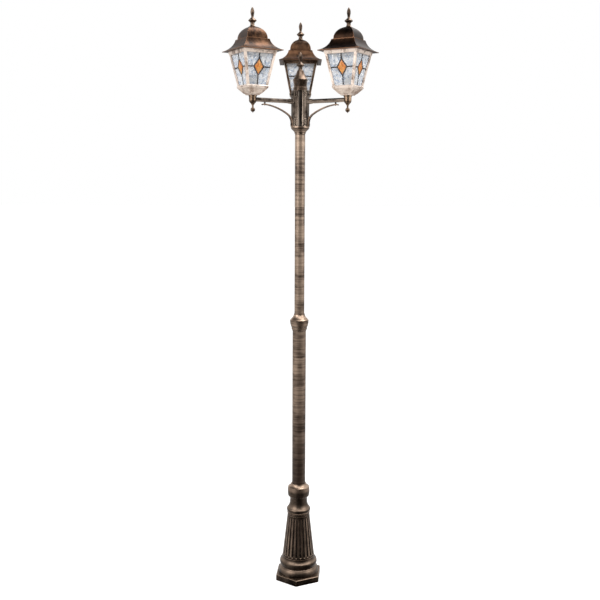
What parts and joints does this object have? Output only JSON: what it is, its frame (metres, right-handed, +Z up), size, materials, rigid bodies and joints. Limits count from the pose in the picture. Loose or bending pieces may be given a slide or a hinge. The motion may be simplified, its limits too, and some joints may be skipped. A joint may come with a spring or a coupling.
{
  "type": "lamp post",
  "caption": "Garden lamp post: fluted pedestal, stepped round pole and a hub whose arms carry square tapered leaded-glass lanterns with domed roofs.",
  "frame": {"origin": "centre of the pole on the ground, at the underside of the pedestal", "axes": "+Z up along the pole, +Y along the rear arm, +X to the right seen from the front"},
  "size_m": [0.6208, 0.5377, 2.4],
  "materials": {
    "cast_bronze": "dark painted casting, brushed with bronze on the high spots",
    "rubbed_bronze": "painted casting, rubbed pale bronze over a dark ground",
    "pole_bronze": "dark paint brushed round the tube with bronze",
    "zinc_steel": "zinc plated",
    "dark_screws": "painted with the casting",
    "lead": "dull dark lead strip",
    "clear_glass": "hammered clear glass",
    "amber_glass": "amber glass",
    "bulb_glass": "opal lamp",
    "black_plastic": "moulded",
    "white_plastic": "moulded"
  },
  "bodies": {
    "post": {"pedestal": "cast_bronze", "lower_tube": "pole_bronze", "tube_coupler": "zinc_steel", "joint_collar": "cast_bronze", "upper_tube": "pole_bronze", "hub_collar": "cast_bronze", "hub_column": "pole_bronze", "arm_screws": "dark_screws", "brace_screws": "dark_screws", "brace_knobs": "cast_bronze", "terminal_block": "white_plastic", "arm_left": "rubbed_bronze", "brace_left": "rubbed_bronze", "arm_cup_left": "rubbed_bronze", "drop_ball_left": "rubbed_bronze", "nipple_left": "zinc_steel", "lantern_base_left": "rubbed_bronze", "lantern_frame_left": "rubbed_bronze", "lantern_glass_left": "clear_glass", "pane_leading_left": "lead", "amber_diamonds_left": "amber_glass", "lampholder_left": "black_plastic", "roof_bridge_left": "zinc_steel", "arm_right": "rubbed_bronze", "brace_right": "rubbed_bronze", "arm_cup_right": "rubbed_bronze", "drop_ball_right": "rubbed_bronze", "nipple_right": "zinc_steel", "lantern_base_right": "rubbed_bronze", "lantern_frame_right": "rubbed_bronze", "lantern_glass_right": "clear_glass", "pane_leading_right": "lead", "amber_diamonds_right": "amber_glass", "lampholder_right": "black_plastic", "roof_bridge_right": "zinc_steel", "arm_rear": "rubbed_bronze", "brace_rear": "rubbed_bronze", "arm_cup_rear": "rubbed_bronze", "drop_ball_rear": "rubbed_bronze", "nipple_rear": "zinc_steel", "lantern_base_rear": "rubbed_bronze", "lantern_frame_rear": "rubbed_bronze", "lantern_glass_rear": "clear_glass", "pane_leading_rear": "lead", "amber_diamonds_rear": "amber_glass", "lampholder_rear": "black_plastic", "roof_bridge_rear": "zinc_steel"},
    "cap": {"hub_cap": "cast_bronze", "hub_finial": "cast_bronze", "cap_screw": "zinc_steel"},
    "lantern_roof_left": {"roof_left": "cast_bronze"},
    "finial_left": {"finial_left": "cast_bronze"},
    "bulb_left": {"bulb_left": "bulb_glass"},
    "lantern_roof_right": {"roof_right": "cast_bronze"},
    "finial_right": {"finial_right": "cast_bronze"},
    "bulb_right": {"bulb_right": "bulb_glass"},
    "lantern_roof_rear": {"roof_rear": "cast_bronze"},
    "finial_rear": {"finial_rear": "cast_bronze"},
    "bulb_rear": {"bulb_rear": "bulb_glass"}
  },
  "joints": [
    {"name": "cap_lift", "type": "slide", "parent": "post", "child": "cap", "axis": [0, 0, 1], "range_m": [0, 0.08]},
    {"name": "roof_lift_left", "type": "slide", "parent": "post", "child": "lantern_roof_left", "axis": [0, 0, 1], "range_m": [0, 0.15]},
    {"name": "finial_turn_left", "type": "hinge", "parent": "lantern_roof_left", "child": "finial_left", "pos_m": [-0.18749, -0.10825, 2.326], "axis": [0, 0, 1], "range_deg": [0, 1080]},
    {"name": "bulb_turn_left", "type": "hinge", "parent": "post", "child": "bulb_left", "pos_m": [-0.18749, -0.10825, 2.14], "axis": [0, 0, 1], "range_deg": [0, 1080]},
    {"name": "roof_lift_right", "type": "slide", "parent": "post", "child": "lantern_roof_right", "axis": [0, 0, 1], "range_m": [0, 0.15]},
    {"name": "finial_turn_right", "type": "hinge", "parent": "lantern_roof_right", "child": "finial_right", "pos_m": [0.18749, -0.10825, 2.326], "axis": [0, 0, 1], "range_deg": [0, 1080]},
    {"name": "bulb_turn_right", "type": "hinge", "parent": "post", "child": "bulb_right", "pos_m": [0.18749, -0.10825, 2.14], "axis": [0, 0, 1], "range_deg": [0, 1080]},
    {"name": "roof_lift_rear", "type": "slide", "parent": "post", "child": "lantern_roof_rear", "axis": [0, 0, 1], "range_m": [0, 0.15]},
    {"name": "finial_turn_rear", "type": "hinge", "parent": "lantern_roof_rear", "child": "finial_rear", "pos_m": [0, 0.2165, 2.326], "axis": [0, 0, 1], "range_deg": [0, 1080]},
    {"name": "bulb_turn_rear", "type": "hinge", "parent": "post", "child": "bulb_rear", "pos_m": [0, 0.2165, 2.14], "axis": [0, 0, 1], "range_deg": [0, 1080]}
  ]
}
